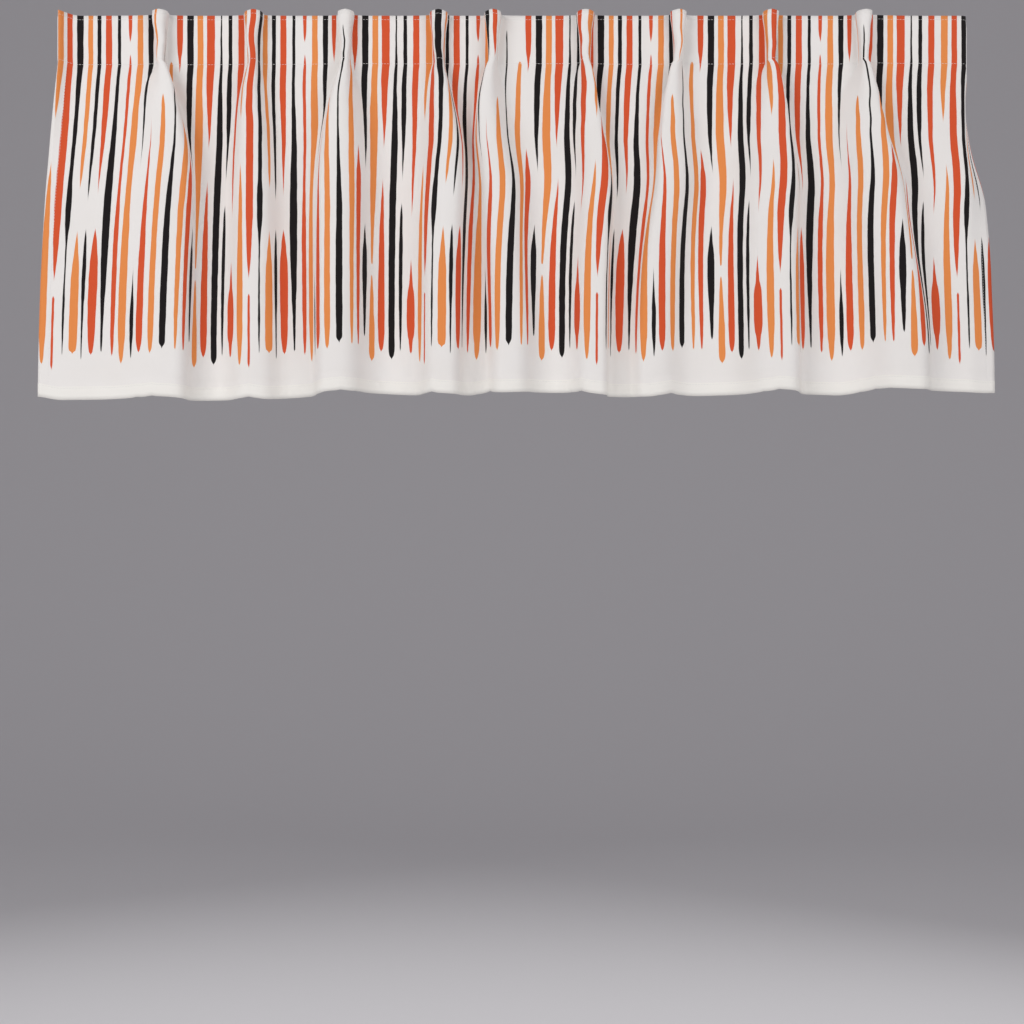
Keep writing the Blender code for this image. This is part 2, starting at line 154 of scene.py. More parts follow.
rod_y = middle("outer_tube").y
brushed_steel = metal("brushed_steel", (0.60, 0.595, 0.585), 0.32, (14, 2600, 2600))
TUBE_WALL = 0.7 * MM
for node, body in (("outer_tube", "rod"), ("inner_tube", "rod_extension")):
    length, radius = size(node).x, size(node).z / 2
    bpy.ops.mesh.primitive_cylinder_add(
        vertices=72, radius=radius, depth=length, end_fill_type="NOTHING",
        location=middle(node), rotation=(0, math.pi / 2, 0),
    )
    tube = bpy.context.object
    tube.name = f"{node}_drawn"
    wall = tube.modifiers.new("wall", "SOLIDIFY")
    wall.thickness = TUBE_WALL
    wall.offset = -1
    select_only(tube)
    bpy.ops.object.modifier_apply(modifier="wall")
    finish_edges(tube, 0.25 * MM)
    tube.data.materials.append(brushed_steel)
    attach(tube, body)
    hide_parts(node)

CAP_FLANGE = 3.2 * MM
CAP_RIM = 2.1 * MM  # of the flange outside the plug
for side, body in ((-1, "rod"), (1, "rod_extension")):
    node = "left_end_cap" if side < 0 else "right_end_cap"
    across, long = size(node).z / 2, size(node).x
    face_x = middle(node).x + side * long / 2
    bpy.ops.mesh.primitive_cylinder_add(
        vertices=72, radius=across, depth=CAP_FLANGE,
        location=(face_x - side * CAP_FLANGE / 2, rod_y, 0), rotation=(0, side * math.pi / 2, 0),
    )
    cap = bpy.context.object
    cap.name = f"{node}_pressed"
    bpy.ops.object.mode_set(mode="EDIT")
    bpy.ops.mesh.select_all(action="DESELECT")
    bpy.ops.object.mode_set(mode="OBJECT")
    for face in cap.data.polygons:
        face.select = face.normal.z < -0.9
    bpy.ops.object.mode_set(mode="EDIT")
    bpy.ops.mesh.select_mode(type="FACE")
    bpy.ops.mesh.inset(thickness=CAP_RIM)
    bpy.ops.mesh.extrude_region_move(TRANSFORM_OT_translate={"value": (-side * (long - CAP_FLANGE), 0, 0)})
    bpy.ops.object.mode_set(mode="OBJECT")
    finish_edges(cap, 0.7 * MM, segments=4)
    cap.data.materials.append(brushed_steel)
    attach(cap, body)
    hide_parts(node)


# ---- Wall brackets and screws -------------------------------------------------------------------
# Two brackets bent from steel strap, each welded to a wall plate that two pan-head wood screws hold.
# A knurled thumb screw comes up through a boss under each cradle and clamps the rod.


def finished_copy(node, width, smooth=35):
    """The CAD piece with its triangles merged into whole faces and its edges rounded over."""
    piece = bpy.data.objects.new(f"{node}_finished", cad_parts[node].data.copy())
    bpy.context.collection.objects.link(piece)
    piece.data.materials.clear()
    select_only(piece)
    bpy.ops.object.mode_set(mode="EDIT")
    bpy.ops.mesh.select_all(action="SELECT")
    bpy.ops.mesh.remove_doubles(threshold=0.002 * MM)
    bpy.ops.mesh.dissolve_limited(angle_limit=math.radians(1))
    bpy.ops.object.mode_set(mode="OBJECT")
    finish_edges(piece, width, smooth=smooth)
    return piece


strap_steel = metal("strap_steel", (0.56, 0.555, 0.55), 0.36, (900, 90, 900))
bright_zinc = metal("bright_zinc", (0.66, 0.665, 0.68), 0.24, (500, 500, 500))
for side in ("left", "right"):
    bracket = finished_copy(f"{side}_bracket", 0.35 * MM)
    bracket.data.materials.append(strap_steel)
    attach(bracket, "brackets")
    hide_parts(f"{side}_bracket")
    screws = [(f"{side}_{level}_wall_screw", "brackets") for level in ("upper", "lower")]
    for node, body in screws + [(f"{side}_thumb_screw", f"{side}_thumb_screw")]:
        screw = finished_copy(node, 0.15 * MM)
        screw.data.materials.append(bright_zinc)
        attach(screw, body)
        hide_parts(node)


# ---- Rings and hooks ----------------------------------------------------------------------------
# Eleven wire rings slide on the rod. A small eyelet under each carries a zinc-plated wire hook: its
# long prongs go up into the tape's pockets, three at a pleat to pinch it and one at each end.

ring_steel = metal("ring_steel", (0.60, 0.595, 0.59), 0.26, (700, 700, 700))
RING_WIRE = 1.2 * MM
EYELET_RADIUS = 3 * MM
EYELET_WIRE = 0.8 * MM
HOOK_WIRE = 0.8 * MM
HOOK_TAIL = 12.5 * MM  # hangs down behind the eyelet
STEM_BACK = 2.8 * MM  # the stem rises this far behind the prongs
FOOT_UP = 2.2 * MM  # room for the bend from the prongs to the stem
PRONG_APART = 7.2 * MM


def carrier(number):
    """The body that a ring and its hook travel with: the first ring's is the curtain itself."""
    return "curtain" if number == 1 else f"carrier_{number:02d}"


def bent_wire(route):
    """A round wire through a route of points, closed at both ends."""
    bpy.ops.curve.primitive_nurbs_path_add()
    wire = bpy.context.object
    wire.data.splines.clear()
    line = wire.data.splines.new("POLY")
    line.points.add(len(route) - 1)
    for point, place in zip(line.points, route):
        point.co = (*place, 1)
    wire.data.bevel_depth = HOOK_WIRE
    wire.data.bevel_resolution = 4
    wire.data.use_fill_caps = True
    select_only(wire)
    bpy.ops.object.convert(target="MESH")
    return bpy.context.object


def bend(x, centre_y, centre_z, radius, first, last, steps=10):
    """Points round a bend across the width x, its angles in degrees from +Y to +Z."""
    turns = [math.radians(first + (last - first) * step / steps) for step in range(steps + 1)]
    return [(x, centre_y + radius * math.cos(turn), centre_z + radius * math.sin(turn)) for turn in turns]


def joined(pieces):
    """The pieces as one, under the first one's name."""
    select_only(pieces[0])
    for piece in pieces:
        piece.select_set(True)
    bpy.ops.object.join()
    return bpy.context.object


def wire_ring(node):
    """A round wire ring on the rod with its small eyelet below."""
    x = middle(node).x
    low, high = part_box(node)
    ring_radius = (high[1] - low[1]) / 2 - RING_WIRE
    bpy.ops.object.select_all(action="DESELECT")
    bpy.ops.mesh.primitive_torus_add(
        major_segments=64, minor_segments=14, major_radius=ring_radius, minor_radius=RING_WIRE,
        location=(x, rod_y, high[2] - RING_WIRE - ring_radius), rotation=(0, math.pi / 2, 0),
    )
    hoop = bpy.context.object
    bpy.ops.mesh.primitive_torus_add(
        major_segments=36, minor_segments=12, major_radius=EYELET_RADIUS, minor_radius=EYELET_WIRE,
        location=(x, rod_y, low[2] + EYELET_RADIUS + EYELET_WIRE), rotation=(math.pi / 2, 0, 0),
    )
    ring = joined([hoop, bpy.context.object])
    bpy.ops.object.transform_apply(location=True, rotation=True, scale=True)
    bpy.ops.object.shade_smooth()
    ring.name = f"{node}_wire"
    return ring


def wire_hook(node, eyelet_z, prongs):
    """A hook over the eyelet, whose lowest point is at eyelet_z, with its prongs at these places across."""
    x = middle(node).x
    low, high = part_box(node)
    front_y = low[1] + HOOK_WIRE
    tail_y = high[1] - HOOK_WIRE
    foot_z = low[2] + FOOT_UP
    stem_y = front_y + STEM_BACK
    crook_z = eyelet_z + 2 * EYELET_WIRE + HOOK_WIRE + 0.3 * MM
    deep = tail_y - stem_y
    route = bend(x, (front_y + stem_y) / 2, foot_z, (stem_y - front_y) / 2, -180, 0)
    route += bend(x, stem_y + deep * 0.35, crook_z - deep * 0.35, deep * 0.35, 180, 90)
    route += bend(x, tail_y - deep * 0.2, crook_z - deep * 0.2, deep * 0.2, 90, 0)
    route.append((x, tail_y, crook_z - HOOK_TAIL))
    wires = [bent_wire(route)]
    heights = (foot_z, high[2] - 1 * MM, high[2])
    for place in prongs:
        wires.append(bent_wire([(x + place, front_y, z) for z in heights]))
    if len(prongs) > 1:
        wires.append(bent_wire([(x + place, front_y, foot_z) for place in (prongs[0], prongs[-1])]))
    hook = joined(wires)
    bpy.ops.object.shade_smooth_by_angle(angle=math.radians(50))
    hook.data.materials.clear()
    hook.name = f"{node}_wire"
    return hook


for number in range(1, 12):
    ring = wire_ring(f"ring_{number:02d}")
    ring.data.materials.append(ring_steel)
    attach(ring, carrier(number))
    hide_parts(f"ring_{number:02d}")

    prongs = (0,) if number in (1, 11) else (-PRONG_APART, 0, PRONG_APART)
    hook = wire_hook(f"hook_{number:02d}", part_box(f"ring_{number:02d}")[0][2], prongs)
    hook.data.materials.append(bright_zinc)
    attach(hook, carrier(number))
    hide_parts(f"hook_{number:02d}")


# ---- Valance ------------------------------------------------------------------------------------
# One width of white cotton canvas, printed with brush strokes that run down from the heading. It is
# sewn to a pleating tape behind the heading, pinched into nine pleats there, and hangs freely below.

pleats = [middle(f"ring_{number:02d}").x for number in range(2, 11)]
header_left, header_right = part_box("header_tape")[0][0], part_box("header_tape")[1][0]
header_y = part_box("header_tape")[1][1] - 2.2 * MM  # the plane of the flat heading between two pleats
top_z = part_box("valance")[1][2] - 2 * MM
TAPE_LONG = 65 * MM
LOOP = 55 * MM  # cloth in one pleat at the top edge, before the prongs pinch it
loop_extra = np.array([32, 25.5, 31.5, 27.5, 31, 28.5, 32, 32, 32]) * MM  # what each takes out of the width
CURL = 4 * MM  # taken out of the width at the left end, where the heading curls forward
START_X = header_left + 5 * MM
END_X = header_right - 4 * MM
RETURN = 42 * MM  # turned back round the rod's right end
RETURN_BEND = 14 * MM  # of cloth in the bend where it turns back
RETURN_DOWN = 27 * MM  # its corner is dressed down this far, to clear the rod as the curtain is drawn
CLOTH_LONG = 496 * MM
HEM = 17 * MM
TOP_TURN = 10 * MM
HEADER_RISE = 4 * MM  # of the top edge at a pleat, over the middle between two
CORNER_RISE = 4 * MM  # of its curled left corner
HEM_LEFT = 31 * MM  # the hem's left corner hangs this far out past the heading's
HANG_BACK = 30 * MM  # the hem hangs this far behind the heading

pleat_threads = np.array(pleats) - START_X + CURL + np.cumsum(loop_extra) - loop_extra / 2
CLOTH_WIDE = pleat_threads[-1] + loop_extra[-1] / 2 + END_X - pleats[-1] + RETURN

# How the nine pleats open, left to right: how far a crest wanders by the hem and how soon, its two sides
# there, how much of the width it still takes up, and how far it leans sideways just below the tape
drift = np.array([22, 6, -8, 16, 34, 22, -30, 8, 52]) * MM
wander = np.array([0.45, 0.5, 0.5, 0.4, 0.9, 0.5, 0.9, 0.6, 0.9])
hem_left = np.array([112, 66, 76, 76, 62, 68, 48, 110, 108]) * MM
hem_right = np.array([66, 62, 88, 66, 70, 50, 78, 66, 66]) * MM
hem_extra = np.array([21, 13, 37, 35, 25, 31, 15, 30, 25]) * MM
lean = np.array([0.12, -0.1, -0.15, 0.2, -0.25, 0.2, -0.15, 0.15, 0.1])

# How far the hem is drawn up by the folds, as (thread, rise) in mm from the left edge to the right
hem_line = np.array([
    (0, 0), (100, 1), (210, 0), (320, 1), (410, 7), (480, 11), (560, 7), (680, 7), (760, 11), (820, 10),
    (870, 6), (960, 4), (1060, 7), (1160, 10), (1250, 7), (1320, 12), (1400, 13), (1500, 9),
]) * MM
threads = np.arange(0, CLOTH_WIDE + 0.25 * MM, 0.5 * MM)
drops = np.concatenate((
    np.linspace(0, TAPE_LONG, 9),
    np.linspace(TAPE_LONG + 4 * MM, 200 * MM, 28),
    np.linspace(208 * MM, CLOTH_LONG - HEM - 0.8 * MM, 34),
    np.linspace(CLOTH_LONG - HEM + 0.4 * MM, CLOTH_LONG, 4),
))


def eased(value):
    """From 0 to 1 with a soft start and end."""
    value = np.clip(value, 0, 1)
    return value * value * (3 - 2 * value)


def fallen_share(drop):
    """0 down to the tape's lower edge and 1 at the hem."""
    return np.clip((drop - TAPE_LONG) / (CLOTH_LONG - TAPE_LONG), 0, 1)


def side_shape(share, crest, base):
    """How far a fold's side is turned, 0 at its crest and at its foot and 1 between them."""
    return eased(share / crest) * eased((1 - share) / base)


def row_at(drop):
    """Where each thread runs at a drop below the top edge: its x, and how far in front of the heading."""
    pinch = eased(drop / TAPE_LONG)
    opened = math.sin(np.clip((drop - TAPE_LONG) / (175 * MM), 0, 1) * math.pi / 2)
    fallen = fallen_share(drop)
    crest_share = 0.60 - 0.26 * pinch + 0.12 * opened
    base_share = 0.07 + 0.45 * opened
    half_loop = (LOOP - 6 * MM * eased(drop / (25 * MM)) - 4 * MM * pinch) / 2
    crests = pleat_threads + drift * eased(fallen / wander)
    left_side = half_loop + (hem_left - half_loop) * opened
    right_side = half_loop + (hem_right - half_loop) * opened
    extra = loop_extra + (hem_extra - loop_extra) * (eased(fallen) + fallen * (2 - fallen)) / 2

    # for each unit of its length, a side turned by an angle rises and keeps this much of its width
    shape = side_shape(np.linspace(0, 1, 81), crest_share, base_share)
    turns = np.radians(np.linspace(0, 125, 126))
    rises = np.array([np.sin(turn * shape).mean() for turn in turns])
    widths = np.array([np.cos(turn * shape).mean() for turn in turns])
    steepest = int(rises.argmax()) + 1
    angle = np.zeros_like(threads)
    heights = np.zeros(len(crests))
    for number, crest in enumerate(crests):
        # the sides are turned, both to the same height, until the fold takes up its share of the width
        lengths = (left_side[number], right_side[number])
        shares = (1 - 0.6 * opened if number == 0 else 1, 1)  # the left end stays further forward
        shorter = min(lengths)
        low, high = 0.0, turns[-1]
        for _ in range(24):
            turn = (low + high) / 2
            rise = np.interp(turn, turns, rises)
            past = turn - np.interp(rise, rises[:steepest], turns[:steepest])
            own = [
                share * past
                + np.interp(share * rise * shorter / length, rises[:steepest], turns[:steepest])
                for share, length in zip(shares, lengths)
            ]
            taken = sum(length * (1 - np.interp(one, turns, widths)) for length, one in zip(lengths, own))
            if taken < extra[number]:
                low = turn
            else:
                high = turn
        heights[number] = rise * shorter
        for side, length, one in zip((1, -1), lengths, own):
            along = np.clip((crest - threads) * side / length, 0, 1)
            angle += side * one * side_shape(along, crest_share, base_share)
    # the left edge curls forward and the right end is turned back, both less and less on the way down
    curl = math.radians(52 - 46 * eased(fallen * 3))
    angle -= curl * (1 - eased(threads / (34 * MM)))
    back = math.radians(80 - 60 * eased(fallen * 1.6))
    angle -= back * eased((threads - (CLOTH_WIDE - RETURN)) / RETURN_BEND)

    half_step = (threads[1] - threads[0]) / 2
    x = np.concatenate(([0], np.cumsum(np.cos(angle[1:]) + np.cos(angle[:-1])) * half_step))
    front = np.concatenate(([0], np.cumsum(np.sin(angle[1:]) + np.sin(angle[:-1])) * half_step))
    x += START_X - HEM_LEFT * (1 - (1 - fallen) ** 2)
    front += heights[0] - np.interp(crests[0], threads, front)
    # a pleat leans a little and crumples just below the tape, before it opens
    below_tape = eased((drop - TAPE_LONG * 0.7) / (50 * MM)) * (1 - eased((drop - 110 * MM) / (160 * MM)))
    for number, crest in enumerate(crests):
        reach = np.where(threads < crest, left_side[number], right_side[number])
        near = 1 - eased(np.abs(threads - crest) / reach)
        crumple = noise.noise(Vector((number * 3.7, drop * 38, 1.9))) * 3.2 * MM * (1 - opened)
        x += (lean[number] * below_tape * heights[number] + crumple) * near
    return x, front


def cloth_columns():
    """Threads to model: close together round each pleat, further apart between them."""
    places = set(np.round(np.linspace(0, CLOTH_WIDE, 301), 5))
    for thread in pleat_threads:
        places |= set(np.round(thread + np.arange(-28, 29, 1.6) * MM, 5))
    places = sorted(places)
    kept = [places[0]]
    for place in places[1:-1]:
        if place - kept[-1] > 1.1 * MM and places[-1] - place > 1.1 * MM:
            kept.append(place)
    return np.array(kept + [places[-1]])


def hang_cloth(columns):
    """Points of the hanging cloth, [drop, thread], each thread nearly keeping its length."""
    top = np.full(len(columns), top_z)
    edges = np.concatenate(([-LOOP], pleat_threads, [CLOTH_WIDE + LOOP]))
    for left, right in zip(edges, edges[1:]):
        share = np.clip((columns - left) / (right - left), 0, 1)
        inside = (columns >= left) & (columns < right)
        top[inside] += HEADER_RISE * (1 - 4 * share * (1 - share))[inside] ** 2
    top += CORNER_RISE * (1 - eased(columns / (30 * MM)))
    made = np.zeros((len(drops), len(columns), 3))
    rise = np.interp(columns, *hem_line.T)
    for index, drop in enumerate(drops):
        x, front = row_at(drop)
        fallen = fallen_share(drop)
        hem_step = 0.7 * MM if drop > CLOTH_LONG - HEM else 0  # the doubled hem stands out this much
        hang_back = HANG_BACK * (1 - (1 - fallen) ** 3.2) - hem_step
        made[index, :, 0] = np.interp(columns, threads, x)
        made[index, :, 1] = header_y - np.interp(columns, threads, front) + hang_back
        for column, thread in enumerate(columns):
            crumple = noise.noise(Vector((thread * 16, drop * 7, 3.1))) * 1.6
            crumple += noise.noise(Vector((thread * 45, drop * 22, 8.7))) * 0.5
            made[index, column, 1] += crumple * MM * min(1, 0.12 + 2.2 * fallen)
        if index == 0:
            made[index, :, 2] = top
        else:
            step = drop - drops[index - 1]
            across = ((made[index, :, :2] - made[index - 1, :, :2]) ** 2).sum(axis=1)
            fall = 0.55 * step + 0.45 * np.sqrt(np.maximum(step**2 - across, (0.7 * step) ** 2))
            made[index, :, 2] = made[index - 1, :, 2] - fall + rise * step / CLOTH_LONG
    corner = RETURN_DOWN * eased((columns - (CLOTH_WIDE - RETURN + 7 * MM)) / (10 * MM))
    hem = made[-1, :, 2]
    made[:, :, 2] = hem + (made[:, :, 2] - hem) * (1 - corner / (top - hem))
    return made


columns = cloth_columns()
cloth = hang_cloth(columns)


def facing(grid):
    """Unit vectors out of the cloth's front at each point of a grid."""
    along = np.gradient(grid, axis=1)
    down = np.gradient(grid, axis=0)
    out = np.cross(down, along)
    out /= np.linalg.norm(out, axis=2, keepdims=True)
    return out


cloth_front = facing(cloth)


def sheet_piece(name, grid, us, vs, thickness):
    """A sheet through a grid of points, with its threads and drops as a UV map in metres, thickened."""
    rows, count = grid.shape[:2]
    mesh = bpy.data.meshes.new(name)
    faces = [
        (r * count + c, (r + 1) * count + c, (r + 1) * count + c + 1, r * count + c + 1)
        for r in range(rows - 1)
        for c in range(count - 1)
    ]
    mesh.from_pydata(grid.reshape(-1, 3).tolist(), [], faces)
    layer = mesh.uv_layers.new(name="Cloth")
    across = np.tile(us, rows)
    down = np.repeat(vs, count)
    index = np.zeros(len(mesh.loops), int)
    mesh.loops.foreach_get("vertex_index", index)
    pairs = np.stack((across[index], down[index]), axis=1)
    layer.uv.foreach_set("vector", pairs.astype(np.float32).ravel())
    piece = bpy.data.objects.new(name, mesh)
    bpy.context.collection.objects.link(piece)
    mesh.shade_smooth()
    wall = piece.modifiers.new("thickness", "SOLIDIFY")
    wall.thickness = thickness
    wall.offset = 0
    wall.material_offset = 1
    wall.material_offset_rim = 0
    select_only(piece)
    mesh.materials.append(None)  # for the front and the edges
    mesh.materials.append(None)  # for the back
    bpy.ops.object.modifier_apply(modifier="thickness")
    return piece


CANVAS = 0.6 * MM
LAYER = 0.8 * MM
# the top edge is turned in behind the heading and the hem is turned up behind the cloth
turn_in = [int(np.abs(drops - TOP_TURN).argmin()), 1, 0]
hem_rows = [index for index in range(len(drops) - 1, 0, -1) if drops[index] > CLOTH_LONG - HEM - 4 * MM]
whole = np.concatenate((
    (cloth - cloth_front * LAYER)[turn_in],
    cloth,
    (cloth - cloth_front * LAYER)[hem_rows],
))
whole_drops = np.concatenate((-drops[turn_in], drops, 2 * CLOTH_LONG - drops[hem_rows]))
valance = sheet_piece("printed_valance", whole, columns, whole_drops, CANVAS)

# The print: each stroke is (ink, thread in mm, [(drop in mm, width in mm), ...]), and all come again
# with every repeat across the cloth. A stroke that runs off the top edge starts above it.
REPEAT = 283.2 * MM
PRINT_IN = 4 * MM  # from the cloth's left edge to the middle of the first stroke
PRINT_LEFT = 7 * MM  # the repeat begins this far before the middle of its first stroke
PRINT_TOP = -30 * MM  # and this far above the top edge, where the cloth is turned in
strokes = [
    ("orange", 0, [(-30, 9.5), (60, 9), (100, 6.5), (141, 0), (190, 0), (230, 5), (300, 8.5), (380, 10),
                   (430, 7), (456, 0)]),
    ("red", 12.9, [(-30, 7.5), (80, 8), (160, 10), (230, 10), (300, 7), (346, 0), (364, 0), (367, 3.4),
                   (450, 3.6), (462, 0)]),
    ("black", 26.2, [(-30, 9.5), (60, 8.5), (115, 6), (200, 5.5), (245, 8), (285, 4), (310, 2.4),
                     (385, 3.2), (440, 0)]),
    ("orange", 39.6, [(-30, 7), (80, 6.5), (180, 5.2), (227, 0), (276, 0), (310, 7), (346, 11), (415, 11.5),
                      (433, 8), (438, 0)]),
    ("black", 50.8, [(-30, 5.6), (100, 5.4), (190, 4.2), (242, 0), (273, 0), (300, 4.5), (330, 5.6),
                     (385, 3.6), (446, 0)]),
    ("red", 63.1, [(-30, 8), (80, 8.6), (150, 6.5), (200, 3), (234, 0), (273, 0), (305, 8.5), (345, 12),
                   (400, 10.5), (440, 0)]),
    ("black", 76.6, [(-30, 4.4), (90, 4.6), (150, 6.8), (230, 10), (270, 10.5), (330, 8.5), (385, 5),
                     (437, 0)]),
    ("red", 90.8, [(-30, 6), (10, 5.2), (36, 0), (49, 0), (62, 3.4), (90, 4.6), (200, 4.2), (300, 7),
                   (380, 6.6), (442, 0)]),
    ("orange", 103.7, [(-30, 7.4), (60, 8.2), (150, 10), (220, 8), (290, 10.5), (385, 11.5), (430, 8),
                       (453, 0)]),
    ("black", 117.4, [(-30, 8), (60, 6.6), (120, 4), (204, 0), (325, 0), (365, 3.6), (395, 6), (430, 3.6),
                      (448, 0)]),
    ("red", 128.4, [(-30, 7), (20, 6), (64, 0), (134, 0), (200, 3), (260, 6.5), (330, 9.2), (400, 9.6),
                    (441, 0)]),
    ("orange", 143.8, [(-30, 3.4), (30, 3), (74, 0), (108, 0), (124, 4.6), (190, 7.6), (300, 8), (380, 8.6),
                       (430, 6), (444, 0)]),
    ("black", 159.3, [(18, 0), (30, 2.2), (150, 3), (200, 5), (260, 8), (340, 9.2), (425, 8.4), (437, 0)]),
    ("orange", 176.1, [(60, 0), (66, 5), (120, 7.2), (220, 8.4), (300, 7), (385, 5.6), (437, 0)]),
    ("red", 187.1, [(-30, 8.4), (30, 8), (56, 4), (76, 0), (170, 0), (195, 5.2), (230, 9), (300, 7.6),
                    (380, 6), (437, 0)]),
    ("black", 200.6, [(-30, 9), (80, 8.4), (130, 7), (206, 0), (270, 0), (295, 5.4), (332, 9.8), (370, 7.5),
                      (424, 0)]),
    ("orange", 213.5, [(-30, 8), (80, 8.4), (150, 11), (200, 10.5), (280, 5.5), (322, 2.8), (325, 0),
                       (339, 0), (342, 2.6), (385, 7), (437, 9.4), (456, 0)]),
    ("red", 227.0, [(-30, 11), (60, 10.6), (110, 7.6), (174, 0), (208, 0), (250, 4.6), (310, 8), (400, 9.6),
                    (442, 0)]),
    ("black", 240.6, [(-30, 2), (30, 2.6), (90, 5.2), (160, 8.6), (230, 9.4), (320, 9), (435, 8.2),
                      (452, 0)]),
    ("black", 252.2, [(-30, 5), (60, 5.6), (115, 7), (160, 4.6), (216, 0), (240, 0), (270, 4.4), (320, 5.6),
                      (385, 4.4), (440, 0)]),
    ("red", 266.4, [(-30, 8.4), (60, 8.6), (150, 6.4), (220, 3.4), (264, 0), (314, 0), (350, 6),
                    (392, 12.6), (423, 7), (444, 0)]),
]
inks = {
    "orange": (0.80, 0.268, 0.074, 1),
    "red": (0.67, 0.091, 0.029, 1),
    "black": (0.008, 0.006, 0.0065, 1),
}
WHITE = (0.81, 0.782, 0.745, 1)
PALER = (0.85, 0.83, 0.805, 1)
HEM_WHITE = (0.87, 0.85, 0.80, 1)
WIDEST = 16 * MM  # the full height of a stroke's width curve
SOFT_EDGE = 0.5 * MM


def maths(tree, operation, *values):
    """The result of a Math node, its values numbers or sockets."""
    node = tree.nodes.new("ShaderNodeMath")
    node.operation = operation
    for socket, value in zip(node.inputs, values):
        if isinstance(value, (int, float)):
            socket.default_value = value
        else:
            tree.links.new(value, socket)
    return node.outputs[0]


def stroke_edge(tree, thread, drop, place, outline):
    """How far inside a stroke a point lies, in metres; below zero outside it."""
    low, high = PRINT_TOP, CLOTH_LONG
    (before, wide), (tip, _) = outline[-2:]
    if tip - before > 12:
        outline = outline[:-1] + [(tip - 5, wide * 0.42), (tip, 0)]  # the brush lifts off with a blunt tip
    spots = [((at * MM - low) / (high - low), width * MM / WIDEST) for at, width in outline]
    if outline[0][1] == 0:
        spots.insert(0, (0, 0))
    spots.append((1, 0))
    curve = tree.nodes.new("ShaderNodeFloatCurve")
    profile = curve.mapping.curves[0]
    profile.points[0].location = spots[0]
    profile.points[1].location = spots[-1]
    for spot in spots[1:-1]:
        profile.points.new(*spot)
    for point in profile.points:
        # the brush lifts sharply where a stroke breaks off above the last row of tips
        broken_off = point.location[1] == 0 and point.location[0] < (400 * MM - low) / (high - low)
        point.handle_type = "VECTOR" if broken_off else "AUTO_CLAMPED"
    curve.mapping.update()
    down = maths(tree, "DIVIDE", maths(tree, "SUBTRACT", drop, low), high - low)
    tree.links.new(down, curve.inputs["Value"])
    half = maths(tree, "MULTIPLY", curve.outputs[0], WIDEST / 2)
    off = maths(tree, "ABSOLUTE", maths(tree, "SUBTRACT", thread, place * MM))
    return maths(tree, "SUBTRACT", half, off)


def canvas_material(name, print_strength):
    """Plain-weave cotton, its print at full strength on the face and showing through faintly behind."""
    made, tree, shader = new_material(name, roughness=0.92)
    shader.inputs["Specular IOR Level"].default_value = 0.22
    shader.inputs["Sheen Weight"].default_value = 0.04
    shader.inputs["Sheen Roughness"].default_value = 0.6
    place = tree.nodes.new("ShaderNodeUVMap")
    place.uv_map = "Cloth"
    parts = tree.nodes.new("ShaderNodeSeparateXYZ")
    tree.links.new(place.outputs[0], parts.inputs[0])
    u, v = parts.outputs[0], parts.outputs[1]
    # the brush's hand isn't quite steady
    wander = marks_on(tree, place.outputs[0], (260, 45, 1), 2)
    shake = maths(tree, "MULTIPLY", maths(tree, "SUBTRACT", wander, 0.5), 1.4 * MM)
    shaken = maths(tree, "ADD", maths(tree, "SUBTRACT", u, PRINT_IN), shake)
    thread = maths(tree, "WRAP", shaken, REPEAT - PRINT_LEFT, -PRINT_LEFT)
    cloudy = tree.nodes.new("ShaderNodeTexNoise")
    cloudy.inputs["Scale"].default_value = 14
    tree.links.new(place.outputs[0], cloudy.inputs["Vector"])
    last = blended(tree, cloudy.outputs[0], WHITE, PALER)
    # the hem is two thicknesses of cloth, so less light passes through it and it looks paler
    last = blended(tree, maths(tree, "GREATER_THAN", v, CLOTH_LONG - HEM), last, HEM_WHITE)
    for ink, tone in inks.items():
        edge = None
        for stroke_ink, at, outline in strokes:
            if stroke_ink == ink:
                inside = stroke_edge(tree, thread, v, at, outline)
                edge = inside if edge is None else maths(tree, "MAXIMUM", edge, inside)
        cover = maths(tree, "MULTIPLY", edge, 1 / SOFT_EDGE)
        cover = maths(tree, "MINIMUM", maths(tree, "MAXIMUM", cover, 0), 1)
        last = blended(tree, maths(tree, "MULTIPLY", cover, print_strength), last, tone)
    tree.links.new(last, shader.inputs["Base Color"])
    # plain weave: warp and weft pass over and under every 0.75 mm
    turns = math.tau / (1.5 * MM)
    warp = maths(tree, "SINE", maths(tree, "MULTIPLY", u, turns))
    weft = maths(tree, "SINE", maths(tree, "MULTIPLY", v, turns))
    raise_surface(tree, shader, maths(tree, "MULTIPLY", warp, weft), 0.25, 0.15 * MM)
    return made


reverse = canvas_material("canvas_reverse", 0.16)
valance.data.materials[0] = canvas_material("printed_canvas", 1.0)
valance.data.materials[1] = reverse


def hang_on_curtain(piece):
    """Let a soft piece swing with the curtain, on a mesh of its own."""
    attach(piece, "curtain")
    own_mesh(piece)


hang_on_curtain(valance)
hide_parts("valance")


# ---- Heading tape -------------------------------------------------------------------------------
# A woven white tape sewn flat behind the heading, with a row of pockets for the hooks' prongs. It is
# pinched into the pleats with the cloth.


def cloth_point(u, v, off=0.0):
    """A point over the thread u at the drop v, off in front of the cloth's middle."""
    column = np.interp(u, columns, np.arange(len(columns)))
    row = np.interp(v, drops, np.arange(len(drops)))
    c, r = min(int(column), len(columns) - 2), min(int(row), len(drops) - 2)
    s, t = column - c, row - r
    weights = (
        (r, c, (1 - t) * (1 - s)), (r, c + 1, (1 - t) * s),
        (r + 1, c, t * (1 - s)), (r + 1, c + 1, t * s),
    )
    place = sum(cloth[i, j] * share for i, j, share in weights)
    out = sum(cloth_front[i, j] * share for i, j, share in weights)
    return place + out * off


